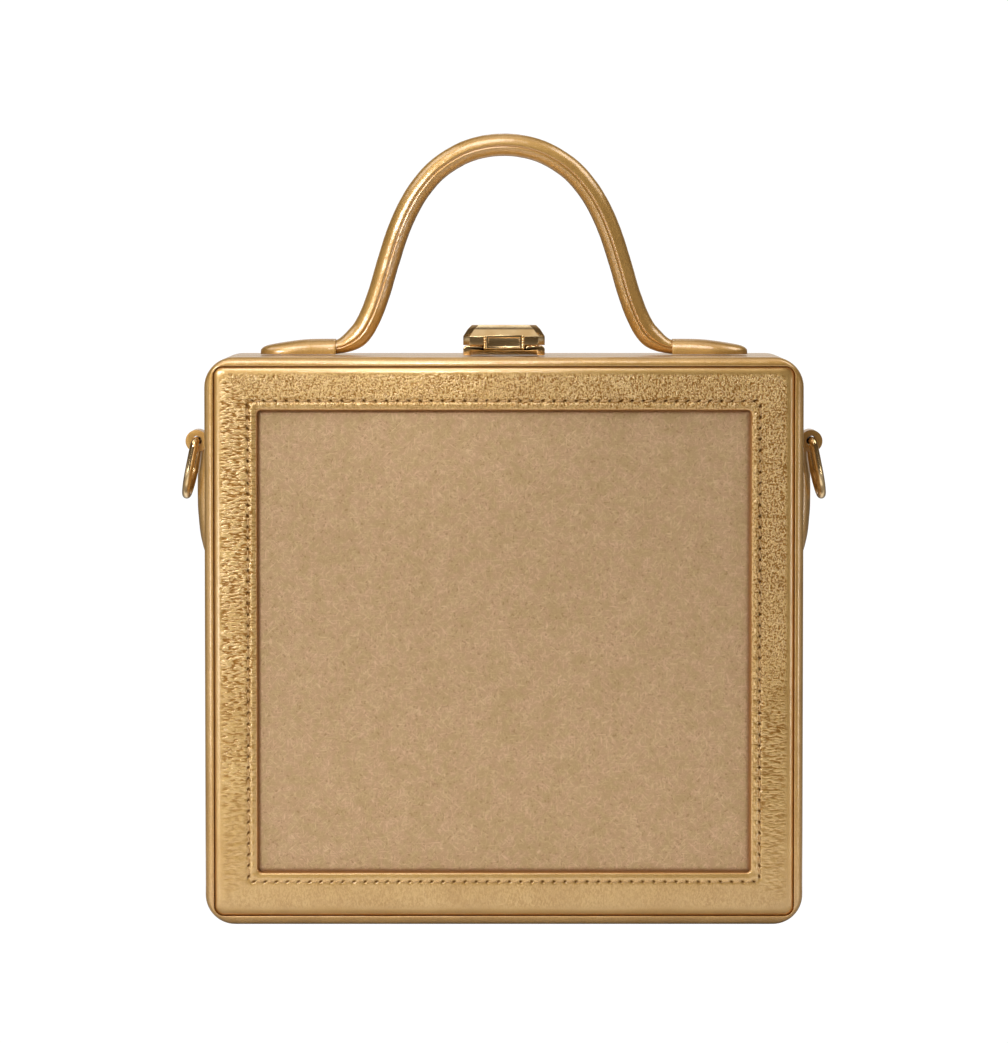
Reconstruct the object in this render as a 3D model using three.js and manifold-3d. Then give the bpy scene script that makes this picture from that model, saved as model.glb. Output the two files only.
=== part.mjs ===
// A rigid box bag that opens like a clamshell, with a rolled leather top handle,
// a flip-up metal clasp and a strap ring on each side. Millimetres, +Z up.
// The bag stands on its bottom at z = 0, centred on x = 0 and y = 0, and its
// framed face looks along -Y.
import * as THREE from "three";
import { mergeVertices } from "three/addons/utils/BufferGeometryUtils.js";
import Module from "manifold-3d";

const wasm = await Module();
wasm.setup();

// Case
const case_width = 200;
const case_height = 190;
const case_depth = 72;
const front_depth = 24; // how much of the depth belongs to the front shell
const wall = 3; // board wrapped in leather
const board = 2; // the wall behind the face leather
const corner_radius = 10; // seen from the front
const edge_round = 3; // the rolled edge round each face
const rim_width = 3; // from the case's side to the seam round the face
const rim_setback = 0.4; // the rolled edge stays this far behind the face
const seat_gap = 0.3; // between two pieces that lie on each other
const split_gap = 0.3; // between the two shells

// Face
const leather = 2; // frame leather, edges turned over
const felt = 1.2;
const frame_border = 14.6;
const frame_corner = 3;
const frame_round = 0.8;
const window_corner = 1.5;

// Handle
const handle_span = 114; // between the mouths of the two tabs
const handle_rise = 68.5; // middle of the foot to the middle of the top
const handle_thickness = 7.6;
const handle_foot = 4.8; // thickness where it is pressed flat in the tab
const handle_flattening = 8; // length over which it is pressed flat
const handle_socket = 8; // how far it reaches into the tab
const handle_tab_length = 25.5;
const handle_tab_height = 5.2;
const handle_tab_width = 14;
const skin_over_handle = 0.9; // least leather left round the handle's end

// Side tabs and strap rings
const ring_wire = 2.8;
const ring_inside_width = 17.5;
const ring_length = 18.8; // middle of the bar to the middle of the bow
const ring_bend = 2.2; // radius of the corner between bar and limb
const ring_tilt = 11.5; // degrees, outwards
const ring_drop = 29; // top of the case down to the bar
const ring_play = 0.35; // between the bar and the leather round it
const strap = 2; // leather of the loop
const strap_width = 14;
const side_tab_width = 16;
const side_tab_length = 38.5; // bar down to the nose
const side_tab_thickness = 3.7;

// Clasp
const clasp_width = 27.4;
const clasp_depth = 17;
const clasp_overhang = 9.6; // how far it reaches in front of the split
const catch_height = 3.45;
const catch_bar = 2.05; // height of the bar
const catch_depth = 2.4;
const catch_leg = 2.7;
const catch_shoulder = 1.5;
const catch_dip = 1.35; // how far the bar's middle lies lower
const catch_setback = 0.5; // behind the lever's front
const lever_height = 6.65;
const lever_wall = 1.4;
const lever_roof = 3.1; // from the hollow's ceiling to the top
const lever_corner = 2.2;
const thumb_width = 12;
const thumb_height = 4.7;
const thumb_proud = 0.8;
const thumb_rim = 0.8;
const thumb_drop = 1.35; // how far it hangs below the lever
const thumb_recess = 0.5; // depth of its panel
const bead_radius = 0.72;
const bead_waist = 0.5; // radius between two beads
const bead_count = 4;
const pivot_back = 3.9; // lever's back edge to its pin
const lug_radius = 1.7;
const lug_width = 8;
const lug_plate = 1;
const clasp_pin_radius = 0.8;

// Hinge along the bottom
const hinge_length = case_width - 2 * corner_radius; // the straight stretch of the bottom
const knuckle_count = 5;
const knuckle_gap = 0.5;
const barrel_radius = 2;
const hinge_pin_radius = 0.9;
const leaf = 0.9;
const leaf_width = 10;
const hinge_relief = 0.4; // clearance round the barrel

const pin_play = 0.15; // round each pin
const corner_steps = 5;
const round_steps = 3;
const circle_sides = 14;

// Places that follow from the sizes
const half_width = case_width / 2;
const front = -case_depth / 2;
const back = case_depth / 2;
const split = front + front_depth;
const face_back = front + leather;
const panel_front = face_back + seat_gap;
const panel_back = panel_front + felt;
const front_seat = panel_back + seat_gap;
const back_seat = back - leather - seat_gap;
const top_seat = case_height + seat_gap;
const side_seat = half_width + seat_gap;

function finish(color, roughness, metalness) {
  return new THREE.MeshStandardMaterial({ color, roughness, metalness });
}

const gold_leather = finish(0xb9894c, 0.42, 0.55);
const grained_leather = finish(0xc39a5f, 0.38, 0.6);
const tan_felt = finish(0xb79871, 0.95, 0);
const pale_brass = finish(0xd9bd86, 0.2, 1);

const bag = new THREE.Group();
bag.name = "box_bag";

function keepPositions(geometry) {
  const bare = new THREE.BufferGeometry();
  bare.setAttribute("position", geometry.getAttribute("position").clone());
  if (geometry.index) bare.setIndex(geometry.index.clone());
  return mergeVertices(bare, 1e-4);
}

function solidFrom(geometry) {
  const merged = keepPositions(geometry);
  return new wasm.Manifold(
    new wasm.Mesh({
      numProp: 3,
      vertProperties: new Float32Array(merged.attributes.position.array),
      triVerts: new Uint32Array(merged.index.array),
    }),
  );
}

function geometryFrom(solid) {
  const made = solid.getMesh();
  const places = new Float32Array(made.numVert * 3);
  for (let i = 0; i < made.numVert; i++) {
    places.set(made.vertProperties.subarray(i * made.numProp, i * made.numProp + 3), i * 3);
  }
  const geometry = new THREE.BufferGeometry();
  geometry.setAttribute("position", new THREE.BufferAttribute(places, 3));
  geometry.setIndex(new THREE.BufferAttribute(made.triVerts, 1));
  geometry.computeVertexNormals();
  return geometry;
}

function cut(geometry, ...tools) {
  return geometryFrom(tools.reduce((rest, tool) => rest.subtract(solidFrom(tool)), solidFrom(geometry)));
}

function join(...pieces) {
  return geometryFrom(pieces.map(solidFrom).reduce((whole, piece) => whole.add(piece)));
}

function add(name, geometry, material) {
  const mesh = new THREE.Mesh(geometry, material);
  mesh.name = name;
  bag.add(mesh);
}

function signedVolume(places, faces) {
  const corner = (i) => new THREE.Vector3().fromArray(places, 3 * i);
  let volume = 0;
  for (let i = 0; i < faces.length; i += 3) {
    volume += corner(faces[i]).dot(corner(faces[i + 1]).cross(corner(faces[i + 2])));
  }
  return volume;
}

// A closed surface through rings of points that all have the same count. Open
// ends are capped; a loop joins its last ring to its first.
function skin(rings, loop = false) {
  const count = rings[0].length;
  const places = rings.flat().flatMap((p) => [p.x, p.y, p.z]);
  const faces = [];
  const strips = loop ? rings.length : rings.length - 1;
  for (let i = 0; i < strips; i++) {
    const a = i * count;
    const b = ((i + 1) % rings.length) * count;
    for (let j = 0; j < count; j++) {
      const k = (j + 1) % count;
      faces.push(a + j, a + k, b + k, a + j, b + k, b + j);
    }
  }
  if (!loop) {
    for (const [start, flip] of [[0, true], [(rings.length - 1) * count, false]]) {
      const ring = rings[start / count];
      const middle = ring.reduce((sum, p) => sum.add(p), new THREE.Vector3()).divideScalar(count);
      const hub = places.length / 3;
      places.push(middle.x, middle.y, middle.z);
      for (let j = 0; j < count; j++) {
        const k = (j + 1) % count;
        faces.push(hub, start + (flip ? k : j), start + (flip ? j : k));
      }
    }
  }
  if (signedVolume(places, faces) < 0) faces.reverse();
  const geometry = new THREE.BufferGeometry();
  geometry.setAttribute("position", new THREE.Float32BufferAttribute(places, 3));
  geometry.setIndex(faces);
  return geometry;
}

function boxOf(x0, x1, y0, y1, z0, z1) {
  const block = new THREE.BoxGeometry(x1 - x0, y1 - y0, z1 - z0);
  return block.translate((x0 + x1) / 2, (y0 + y1) / 2, (z0 + z1) / 2);
}

function rodAlongX(radius, x0, x1, y, z) {
  const rod = new THREE.CylinderGeometry(radius, radius, x1 - x0, circle_sides);
  return rod.rotateZ(Math.PI / 2).translate((x0 + x1) / 2, y, z);
}

// One outline of the case or of a face, parallel to the XZ plane at depth y.
function outline(y, inset, radius) {
  const bend = Math.max(radius, 0.2);
  const right = half_width - inset;
  const low = inset;
  const high = case_height - inset;
  const corners = [
    [right - bend, high - bend, 0],
    [-right + bend, high - bend, 1],
    [-right + bend, low + bend, 2],
    [right - bend, low + bend, 3],
  ];
  return corners.flatMap(([x, z, quarter]) =>
    Array.from({ length: corner_steps + 1 }, (_, i) => {
      const angle = (quarter + i / corner_steps) * (Math.PI / 2);
      return new THREE.Vector3(x + bend * Math.cos(angle), y, z + bend * Math.sin(angle));
    }),
  );
}

// Rings that roll over an edge from its face, at depth y, to its side.
function rolledRings(y, inwards, inset, radius, round) {
  return Array.from({ length: round_steps + 1 }, (_, i) => {
    const angle = ((i / round_steps) * Math.PI) / 2;
    const step = round * (1 - Math.sin(angle));
    return outline(y + inwards * round * (1 - Math.cos(angle)), inset + step, radius - step);
  });
}

const recess_radius = frame_corner + seat_gap;

function shellBody(face, inwards, seat, split_face) {
  const body = skin([
    ...rolledRings(face + inwards * rim_setback, inwards, 0, corner_radius, edge_round),
    outline(split_face, 0, corner_radius),
  ]);
  const recess = skin([
    outline(face - inwards * leather, rim_width, recess_radius),
    outline(seat, rim_width, recess_radius),
  ]);
  const hollow = skin([
    outline(seat + inwards * board, wall, corner_radius - wall),
    outline(split_face + inwards * leather, wall, corner_radius - wall),
  ]);
  return cut(body, recess, hollow, ...hingeRelief());
}

// Hinge: two leaves on the floor of the case, with a barrel in a groove between
// the shells that stays above the surface the bag stands on.
const barrel_z = barrel_radius + seat_gap;
const groove = barrel_radius + hinge_relief;

function hingeRelief() {
  const end = hinge_length / 2 + hinge_relief;
  const ceiling = barrel_z + seat_gap;
  return [
    boxOf(-half_width - 1, half_width + 1, split - groove, split + groove, -1, ceiling),
    boxOf(-end, end, split - groove, split + groove, -1, wall + leaf + 1),
  ];
}

function hingeLeaf(side, owns) {
  const pitch = hinge_length / knuckle_count;
  const leaf_low = barrel_z + barrel_radius - leaf;
  const ys = [split, split + side * leaf_width].sort((a, b) => a - b);
  let made = boxOf(-hinge_length / 2, hinge_length / 2, ys[0], ys[1], leaf_low, leaf_low + leaf);
  const notches = [];
  const knuckles = [];
  for (let i = 0; i < knuckle_count; i++) {
    const x0 = -hinge_length / 2 + i * pitch;
    if (owns(i)) {
      knuckles.push(rodAlongX(barrel_radius, x0, x0 + pitch - knuckle_gap, split, barrel_z));
    } else {
      notches.push(
        boxOf(
          x0 - knuckle_gap, x0 + pitch,
          split - groove, split + groove,
          leaf_low - barrel_radius, leaf_low + leaf + 1,
        ),
      );
    }
  }
  made = cut(made, ...notches);
  made = join(made, ...knuckles);
  const bore = hinge_pin_radius + pin_play;
  return cut(made, rodAlongX(bore, -hinge_length, hinge_length, split, barrel_z));
}

// Face pieces
function flatSheet(y0, y1) {
  const radius = frame_corner;
  return skin([
    outline(y0, rim_width + seat_gap, radius),
    outline(y1, rim_width + seat_gap, radius),
  ]);
}

function roundedSheet(face, inwards) {
  return skin([
    ...rolledRings(face, inwards, rim_width + seat_gap, frame_corner, frame_round),
    outline(face + inwards * leather, rim_width + seat_gap, frame_corner),
  ]);
}

function frontFrame() {
  const inset = rim_width + frame_border;
  const flare = rolledRings(front, 1, inset, window_corner, -frame_round);
  const window_cut = skin([
    outline(front - leather, inset - frame_round, window_corner + frame_round),
    ...flare,
    outline(face_back + leather, inset, window_corner),
  ]);
  return cut(roundedSheet(front, 1), window_cut);
}

// Handle: the route of its middle, from the foot up, as shares of half the span
// and of the rise.
const handle_route = [
  { out: 1, up: 0 },
  { out: 0.93, up: 0.02 },
  { out: 0.857, up: 0.066 },
  { out: 0.8, up: 0.144 },
  { out: 0.745, up: 0.263 },
  { out: 0.689, up: 0.421 },
  { out: 0.626, up: 0.58 },
  { out: 0.561, up: 0.699 },
  { out: 0.495, up: 0.787 },
  { out: 0.388, up: 0.884 },
  { out: 0.207, up: 0.971 },
  { out: 0, up: 1 },
];
const handle_stations = 46;
const handle_sides = 12;
const foot_z = top_seat + handle_foot / 2;

function handlePath() {
  const side = (sign) =>
    handle_route.map(
      ({ out, up }) => new THREE.Vector3((sign * out * handle_span) / 2, 0, foot_z + up * handle_rise),
    );
  const end = (sign) => new THREE.Vector3(sign * (handle_span / 2 + handle_socket), 0, foot_z);
  const left = [end(-1), ...side(-1)];
  const right = [end(1), ...side(1).slice(0, -1)].reverse();
  return new THREE.CatmullRomCurve3([...left, ...right], false, "centripetal");
}

function handle() {
  const path = handlePath();
  const rings = [];
  for (let i = 0; i <= handle_stations; i++) {
    const along = i / handle_stations;
    const middle = path.getPointAt(along);
    const ahead = path.getTangentAt(along);
    const normal = new THREE.Vector3(-ahead.z, 0, ahead.x);
    const from_mouth = handle_span / 2 - Math.abs(middle.x);
    const roundness = THREE.MathUtils.smoothstep(from_mouth, 0, handle_flattening);
    const thick = THREE.MathUtils.lerp(handle_foot, handle_thickness, roundness);
    rings.push(
      Array.from({ length: handle_sides }, (_, j) => {
        const angle = ((j + 0.5) / handle_sides) * 2 * Math.PI;
        return middle
          .clone()
          .addScaledVector(normal, (thick / 2) * Math.sin(angle))
          .add(new THREE.Vector3(0, (handle_thickness / 2) * Math.cos(angle), 0));
      }),
    );
  }
  const tube = skin(rings);
  return cut(tube, boxOf(-half_width, half_width, -case_depth, case_depth, -case_height, top_seat));
}

// Handle tab: half its width and its height along its length, from the mouth to
// the nose, as shares of its named sizes.
const handle_tab_form = [
  { along: 0, half: 0.78, height: 1 },
  { along: 0.2, half: 0.84, height: 1 },
  { along: 0.4, half: 0.94, height: 0.97 },
  { along: 0.6, half: 1, height: 0.86 },
  { along: 0.78, half: 0.93, height: 0.72 },
  { along: 0.9, half: 0.72, height: 0.6 },
  { along: 0.97, half: 0.45, height: 0.45 },
  { along: 1, half: 0.24, height: 0.3 },
];
const dome_steps = 8;
const dome_power = 2.6; // 2 is an ellipse, more is squarer

function domePoint(angle) {
  const bent = (value) => Math.sign(value) * Math.abs(value) ** (2 / dome_power);
  return [bent(Math.cos(angle)), bent(Math.sin(angle))];
}

function handleTab(sign) {
  const rings = handle_tab_form.map(({ along, half, height }) => {
    const x = sign * (handle_span / 2 + along * handle_tab_length);
    return Array.from({ length: dome_steps + 1 }, (_, i) => {
      const [across, up] = domePoint((i / dome_steps) * Math.PI);
      const y = (across * half * handle_tab_width) / 2;
      return new THREE.Vector3(x, y, top_seat + up * height * handle_tab_height);
    });
  });
  return cut(skin(rings), handleSocket(sign));
}

function handleSocket(sign) {
  const reach = handle_socket + seat_gap;
  const ends = [handle_span / 2 - 1, handle_span / 2 + reach];
  const half_y = Math.min(
    handle_thickness / 2 + seat_gap,
    (handle_tab_form[0].half * handle_tab_width) / 2 - skin_over_handle,
  );
  const rings = ends.map((x) =>
    Array.from({ length: handle_sides }, (_, j) => {
      const angle = ((j + 0.5) / handle_sides) * 2 * Math.PI;
      const z = foot_z + (handle_foot / 2 + seat_gap) * Math.sin(angle);
      return new THREE.Vector3(sign * x, half_y * Math.cos(angle), z);
    }),
  );
  return skin(rings);
}

// Side tab: a leather strap looped round the ring's bar, over a padded tongue.
// Its thickness and half its width down its length, as shares.
const side_tab_form = [
  { down: 0, half: 0.86, thick: 0.3 },
  { down: 0.13, half: 0.92, thick: 0.42 },
  { down: 0.23, half: 0.97, thick: 0.78 },
  { down: 0.31, half: 1, thick: 1 },
  { down: 0.57, half: 1, thick: 1 },
  { down: 0.68, half: 0.96, thick: 0.92 },
  { down: 0.8, half: 0.86, thick: 0.8 },
  { down: 0.9, half: 0.66, thick: 0.6 },
  { down: 0.97, half: 0.4, thick: 0.4 },
  { down: 1, half: 0.2, thick: 0.22 },
];
const bar_z = case_height - ring_drop;
const loop_inside = ring_wire / 2 + ring_play;
const loop_outside = loop_inside + strap;
const bar_x = side_seat + loop_outside;

function sideTab(sign) {
  const rings = side_tab_form.map(({ down, half, thick }) => {
    const z = bar_z - down * side_tab_length;
    return Array.from({ length: dome_steps + 1 }, (_, i) => {
      const [across, out] = domePoint((i / dome_steps) * Math.PI);
      const x = sign * (side_seat + out * thick * side_tab_thickness);
      return new THREE.Vector3(x, (across * half * side_tab_width) / 2, z);
    });
  });
  const ring = (radius, half) => {
    const rod = new THREE.CylinderGeometry(radius, radius, 2 * half, 2 * circle_sides);
    return rod.translate(sign * bar_x, 0, bar_z);
  };
  const loop = join(skin(rings), ring(loop_outside, strap_width / 2));
  return cut(loop, ring(loop_inside, strap_width));
}

// Strap ring: a straight bar in the loop, two limbs and a round bow.
const limb_y = (ring_inside_width + ring_wire) / 2;
const wire_sides = 8;
const bow_steps = 10;
const bend_steps = 3;

function ringPoints() {
  const points = [];
  const straight = Math.max(ring_length - limb_y, ring_bend);
  for (let i = 0; i <= bow_steps; i++) {
    const angle = (i / bow_steps) * Math.PI;
    const depth = straight + (ring_length - straight) * Math.sin(angle);
    points.push(new THREE.Vector2(-limb_y * Math.cos(angle), -depth));
  }
  for (const side of [1, -1]) {
    for (let i = 0; i <= bend_steps; i++) {
      const share = side > 0 ? i : bend_steps - i;
      const angle = ((share / bend_steps) * Math.PI) / 2;
      const y = side * (limb_y - ring_bend * (1 - Math.cos(angle)));
      points.push(new THREE.Vector2(y, -ring_bend * (1 - Math.sin(angle))));
    }
  }
  return points;
}

function strapRing(sign) {
  const points = ringPoints();
  const tilt = THREE.MathUtils.degToRad(ring_tilt);
  const rings = points.map((point, i) => {
    const before = points[(i + points.length - 1) % points.length];
    const after = points[(i + 1) % points.length];
    const ahead = after.clone().sub(before).normalize();
    return Array.from({ length: wire_sides }, (_, j) => {
      const angle = ((j + 0.5) / wire_sides) * 2 * Math.PI;
      const across = (ring_wire / 2) * Math.cos(angle);
      const proud = (ring_wire / 2) * Math.sin(angle);
      const y = point.x - ahead.y * across;
      const down = point.y + ahead.x * across;
      const x = bar_x + proud * Math.cos(tilt) - down * Math.sin(tilt);
      return new THREE.Vector3(sign * x, y, bar_z + down * Math.cos(tilt) + proud * Math.sin(tilt));
    });
  });
  return skin(rings, true);
}

// Clasp: a catch on the front shell, and a hollow lever that turns on a pin in
// the lugs of a base on the back shell.
const lever_front = split - clasp_overhang;
const lever_back = lever_front + clasp_depth;
const lever_low = case_height + catch_height + seat_gap;
const lever_top = lever_low + lever_height;
const hollow_top = lever_top - lever_roof;
const hollow_half = clasp_width / 2 - lever_wall - seat_gap;
const pivot_y = lever_back - pivot_back;
const pivot_z = hollow_top - seat_gap - lug_radius;
const catch_front = lever_front + catch_setback;

// How far each level of the lever steps in, as shares of its height and width.
const lever_form = [
  { up: 0, side: 0, end: 0 },
  { up: 0.44, side: 0, end: 0 },
  { up: 0.79, side: 0.055, end: 0.13 },
  { up: 1, side: 0.105, end: 0.3 },
];

function leverRing(z, side, end) {
  const x = clasp_width / 2 - side;
  const [y0, y1] = [lever_front + end, lever_back - end];
  const c = lever_corner;
  const plan = [
    [x, y0 + c], [x, y1 - c], [x - c, y1], [-x + c, y1],
    [-x, y1 - c], [-x, y0 + c], [-x + c, y0], [x - c, y0],
  ];
  return plan.map(([px, py]) => new THREE.Vector3(px, py, z));
}

function beadColumn(x) {
  const low = lever_low - thumb_drop;
  const step = thumb_height / bead_count;
  const profile = [new THREE.Vector2(0, 0), new THREE.Vector2(bead_waist, 0)];
  for (let i = 0; i < bead_count; i++) {
    profile.push(new THREE.Vector2(bead_radius, (i + 0.5) * step));
    profile.push(new THREE.Vector2(bead_waist, (i + 1) * step));
  }
  profile.push(new THREE.Vector2(0, thumb_height));
  const column = new THREE.LatheGeometry(profile, wire_sides);
  return column.rotateX(Math.PI / 2).translate(x, lever_front - bead_radius / 2, low);
}

function claspLever() {
  const block = skin(
    lever_form.map(({ up, side, end }) =>
      leverRing(lever_low + up * lever_height, side * clasp_width, end * clasp_depth),
    ),
  );
  const low = lever_low - thumb_drop;
  const face = lever_front - thumb_proud;
  const inner = thumb_width / 2 - thumb_rim;
  const thumb = cut(
    boxOf(-thumb_width / 2, thumb_width / 2, face, lever_front + seat_gap / 2, low, low + thumb_height),
    boxOf(-inner, inner, face - 1, face + thumb_recess, low + thumb_rim, low + thumb_height - thumb_rim),
  );
  const bead_x = thumb_width / 2 + bead_waist / 2;
  const solid = join(block, thumb, beadColumn(bead_x), beadColumn(-bead_x));
  const bore = clasp_pin_radius + pin_play;
  return cut(
    solid,
    boxOf(-hollow_half, hollow_half, lever_front + lever_wall, lever_back + 1, lever_low - 1, hollow_top),
    rodAlongX(bore, -clasp_width, clasp_width, pivot_y, pivot_z),
  );
}

function claspBase() {
  const reach = hollow_half - seat_gap;
  const low = top_seat;
  const plate_y = [Math.max(split + split_gap, pivot_y - pivot_back), lever_back];
  const plate = boxOf(-reach, reach, plate_y[0], plate_y[1], low, low + lug_plate);
  const lugs = [-1, 1].flatMap((sign) => {
    const xs = [sign * reach, sign * (reach - lug_width)].sort((a, b) => a - b);
    return [
      boxOf(xs[0], xs[1], pivot_y - lug_radius, pivot_y + lug_radius, low, pivot_z),
      rodAlongX(lug_radius, xs[0], xs[1], pivot_y, pivot_z),
    ];
  });
  const bore = clasp_pin_radius + pin_play;
  return cut(join(plate, ...lugs), rodAlongX(bore, -clasp_width, clasp_width, pivot_y, pivot_z));
}

function claspCatch() {
  const half = clasp_width / 2;
  const r = catch_shoulder;
  const low = top_seat;
  const high = case_height + catch_height;
  const dip = thumb_width / 2 + bead_waist / 2 + bead_radius + 2 * seat_gap;
  const shape = new THREE.Shape();
  shape.moveTo(-half, low);
  shape.lineTo(-half, high - r);
  shape.absarc(-half + r, high - r, r, Math.PI, Math.PI / 2, true);
  shape.lineTo(-dip, high);
  shape.lineTo(-dip + seat_gap, high - catch_dip);
  shape.lineTo(dip - seat_gap, high - catch_dip);
  shape.lineTo(dip, high);
  shape.lineTo(half - r, high);
  shape.absarc(half - r, high - r, r, Math.PI / 2, 0, true);
  shape.lineTo(half, low);
  shape.lineTo(half - catch_leg, low);
  shape.lineTo(half - catch_leg, high - catch_bar);
  shape.lineTo(-half + catch_leg, high - catch_bar);
  shape.lineTo(-half + catch_leg, low);
  const bar = new THREE.ExtrudeGeometry(shape, { depth: catch_depth, bevelEnabled: false, curveSegments: 4 });
  return bar.rotateX(Math.PI / 2).translate(0, catch_front + catch_depth, 0);
}

// The pieces of the back shell
add("back_shell", shellBody(back, -1, back_seat, split + split_gap / 2), gold_leather);
add("back_face", roundedSheet(back, -1), gold_leather);
add("handle", handle(), gold_leather);
for (const [side, sign] of [["left", -1], ["right", 1]]) {
  add("handle_tab_" + side, handleTab(sign), gold_leather);
  add("side_tab_" + side, sideTab(sign), gold_leather);
  add("strap_ring_" + side, strapRing(sign), pale_brass);
}
add("clasp_base", claspBase(), pale_brass);
const clasp_pin_reach = clasp_width / 2 - seat_gap;
add(
  "clasp_pin",
  rodAlongX(clasp_pin_radius, -clasp_pin_reach, clasp_pin_reach, pivot_y, pivot_z),
  pale_brass,
);
add("clasp_lever", claspLever(), pale_brass);

// The pieces of the front shell
add("front_shell", shellBody(front, 1, front_seat, split - split_gap / 2), gold_leather);
add("front_frame", frontFrame(), grained_leather);
add("front_panel", flatSheet(panel_front, panel_back), tan_felt);
add("clasp_catch", claspCatch(), pale_brass);

// The hinge
add("hinge_leaf_back", hingeLeaf(1, (i) => i % 2 === 0), pale_brass);
add("hinge_leaf_front", hingeLeaf(-1, (i) => i % 2 === 1), pale_brass);
const hinge_pin_reach = hinge_length / 2 - seat_gap;
add(
  "hinge_pin",
  rodAlongX(hinge_pin_radius, -hinge_pin_reach, hinge_pin_reach, split, barrel_z),
  pale_brass,
);

export default bag;
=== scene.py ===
"""The looks of a rigid box bag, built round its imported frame.

Lengths are millimetres in the row frame unless a name says otherwise. They become
metres where a mesh is made. The framed face looks along -Y.
"""

import math

import bmesh
import bpy
import numpy as np
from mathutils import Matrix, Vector


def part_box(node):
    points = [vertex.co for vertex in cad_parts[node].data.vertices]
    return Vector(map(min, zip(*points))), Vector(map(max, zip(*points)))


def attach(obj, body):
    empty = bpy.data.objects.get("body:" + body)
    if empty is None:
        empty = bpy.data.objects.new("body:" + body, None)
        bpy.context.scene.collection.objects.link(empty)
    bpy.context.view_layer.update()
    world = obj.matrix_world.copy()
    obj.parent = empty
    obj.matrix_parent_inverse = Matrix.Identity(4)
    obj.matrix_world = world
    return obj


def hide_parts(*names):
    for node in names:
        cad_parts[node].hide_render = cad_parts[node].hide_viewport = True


MM = 0.001

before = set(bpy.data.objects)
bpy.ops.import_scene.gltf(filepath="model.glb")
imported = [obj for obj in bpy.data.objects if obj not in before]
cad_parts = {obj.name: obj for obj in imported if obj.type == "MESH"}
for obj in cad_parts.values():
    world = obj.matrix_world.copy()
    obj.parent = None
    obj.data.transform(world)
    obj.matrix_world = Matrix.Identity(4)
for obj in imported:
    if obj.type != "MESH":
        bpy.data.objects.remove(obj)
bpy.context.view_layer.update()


def box_of(node):
    low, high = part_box(node)
    return np.array(low) / MM, np.array(high) / MM


# Places that come from the frame
shell_low, shell_high = box_of("back_shell")
front_low, front_high = box_of("front_shell")
border_low, border_high = box_of("front_frame")
panel_low, panel_high = box_of("front_panel")
back_low, back_high = box_of("back_face")
HALF = shell_high[0]
HEIGHT = shell_high[2]
MIDDLE = HEIGHT / 2
FRONT = border_low[1]
BACK = back_high[1]

# Case
CORNER = 10
WALL = 3
RIM = 3
RECESS_CORNER = 3.3
RIM_LIP = 0.35
RIM_SET_BACK = 0.4  # from the frame's face to the top of the rim
ROLL = 3
BOARD = 2
FRONT_SEAT = 3.4  # from the shell's face to the bottom of its recess
BACK_SEAT = 1.9  # the same on the back
SEAM_HEIGHT = 160  # where the band's two lengths meet
SEAM_DEPTH = 0.28
SEAM_WIDTH = 0.3
SIDE_STEPS = 60
ARC_STEPS = 14

# Face frame
BORDER = 14.3  # from the frame's outer edge to its window
BORDER_CORNER = 3
BORDER_SPREAD = 0.22  # fills most of the gap round the frame
WINDOW_CORNER = 1.5
BORDER_BEND = 6  # steps in each corner
BORDER_BACK = 0.12  # its plain face behind its solid's
EDGE_ROLL = 2.3
EDGE_RISE = 1.35
SWELL = 0.5  # how far the frame's outer edge lies below its middle
SWELL_REACH = 3.6
WINDOW_ROLL = 0.9
WINDOW_TURN = 1.4  # depth where the painted shadow on the leather's turned edge is full
STITCH_LINE = BORDER - 3.0  # from the frame's outer edge to the stitches
STITCHES_LEVEL = 45
STITCHES_UPRIGHT = 43
STITCH_PITCH = 3.76
COLUMNS_PER_STITCH = 10
LEVEL_COLUMNS = STITCHES_LEVEL * COLUMNS_PER_STITCH + 1
UPRIGHT_COLUMNS = STITCHES_UPRIGHT * COLUMNS_PER_STITCH + 1
STITCH_PULL = 0.2  # how deep the thread draws the leather in
RIDGE_IN = 1.25  # from the stitches to the ridge beside them
RIDGE_HEIGHT = 0.26
GRAIN_RELIEF = 0.05
GRAIN_DEPTH = 0.17
HOLE_DEPTH = 0.6
PANEL_DIP = 0.7
BACK_REACH = 40  # from the back's edge to its plain middle
BACK_GROOVE = 0.14
BACK_SET_IN = 0.14  # its plain face inside its solid's
BACK_WAVE = 0.12
BACK_WAVE_SIZE = 26

# Handle
HANDLE_SPAN = 114
HANDLE_RISE = 68.5
HANDLE_THICK = 7.6
HANDLE_FOOT = 4.8
HANDLE_FLATTENING = 8
HANDLE_SOCKET = 8
SEAT_GAP = 0.3
# share of half the span, share of the rise
HANDLE_ROUTE = (
    (1, 0), (0.93, 0.02), (0.857, 0.066), (0.8, 0.144), (0.745, 0.263), (0.689, 0.421),
    (0.626, 0.58), (0.561, 0.699), (0.495, 0.787), (0.388, 0.884), (0.207, 0.971), (0, 1),
)

# Straps and rings
RING_WIRE = 2.8
RING_LIMB = 10.15  # from the ring's middle to the middle of a limb
RING_LENGTH = 18.8
RING_BEND = 2.2
RING_TILT = 11.5
RING_YAW = 0.038  # how far it turns in its loop's play, as a slope
BAR_X = 104.05
BAR_Z = 161
LOOP_INSIDE = 1.75
LOOP_OUTSIDE = 3.75
LOOP_HALF = 7


# Meshes
def add_object(data):
    made = bpy.data.objects.new(data.name, data)
    bpy.context.scene.collection.objects.link(made)
    return made


def smooth(mesh, sharp):
    """Smooth shading, but for edges of more than sharp degrees."""
    mesh.shade_smooth()
    mesh.set_sharp_from_angle(angle=math.radians(sharp))


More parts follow.
